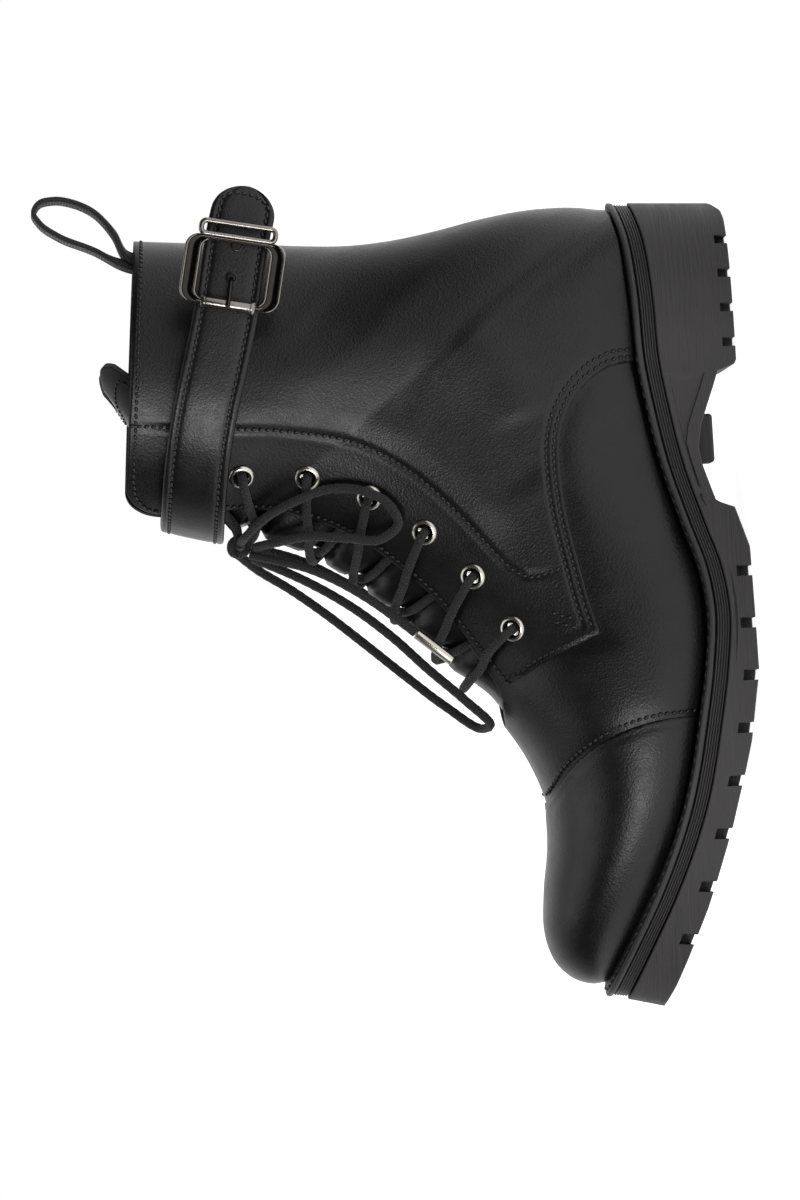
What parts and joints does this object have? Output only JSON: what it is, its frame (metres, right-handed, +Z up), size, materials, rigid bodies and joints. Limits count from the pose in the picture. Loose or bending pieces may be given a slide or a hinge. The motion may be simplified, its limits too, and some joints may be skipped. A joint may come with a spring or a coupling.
{
  "type": "work boot",
  "caption": "Black lace-up ankle work boot for the left foot, with toe cap, lugged block-heel sole, buckled ankle strap, side zip and pull loop.",
  "frame": {"origin": "centre of the bounding box's base, on the floor under the sole, without the loose lace", "axes": "+Z up, the toe towards -Y, the outer (lateral) side towards +X"},
  "size_m": [0.1078, 0.2995, 0.2441],
  "materials": {
    "black_leather": "satin",
    "outsole_rubber": "matte",
    "midsole_rubber": "matte",
    "welt_rubber": "satin",
    "insole": "matte",
    "black_webbing": "matte",
    "black_lace": "matte",
    "gunmetal": "polished",
    "nickel": "polished"
  },
  "bodies": {
    "boot": {"aglet_lateral": "nickel", "aglet_medial": "nickel", "buckle_chape": "black_leather", "buckle_frame": "gunmetal", "buckle_prong": "nickel", "buckle_roller": "nickel", "eyelet_lateral_1": "nickel", "eyelet_lateral_2": "nickel", "eyelet_lateral_3": "nickel", "eyelet_lateral_4": "nickel", "eyelet_lateral_5": "nickel", "eyelet_lateral_6": "nickel", "eyelet_lateral_7": "nickel", "eyelet_medial_1": "nickel", "eyelet_medial_2": "nickel", "eyelet_medial_3": "nickel", "eyelet_medial_4": "nickel", "eyelet_medial_5": "nickel", "eyelet_medial_6": "nickel", "eyelet_medial_7": "nickel", "insole": "insole", "lace_bar": "black_lace", "lace_cross_1": "black_lace", "lace_cross_2": "black_lace", "lace_cross_3": "black_lace", "lace_cross_4": "black_lace", "lace_cross_5": "black_lace", "lace_end_lateral": "black_lace", "lace_end_medial": "black_lace", "lace_knot": "black_lace", "lace_loop_lateral": "black_lace", "lace_loop_medial": "black_lace", "midsole": "midsole_rubber", "outsole": "outsole_rubber", "pull_loop": "black_webbing", "strap": "black_leather", "tongue": "black_leather", "upper": "black_leather", "welt": "welt_rubber", "zip_chain": "gunmetal", "zip_slider": "nickel"},
    "zip_pull": {"zip_pull": "nickel"}
  },
  "joints": [
    {"name": "zip_pull_swing", "type": "hinge", "parent": "boot", "child": "zip_pull", "pos_m": [-0.0459, 0.0841, 0.1995], "axis": [0, 1, 0], "range_deg": [0, 150]}
  ]
}
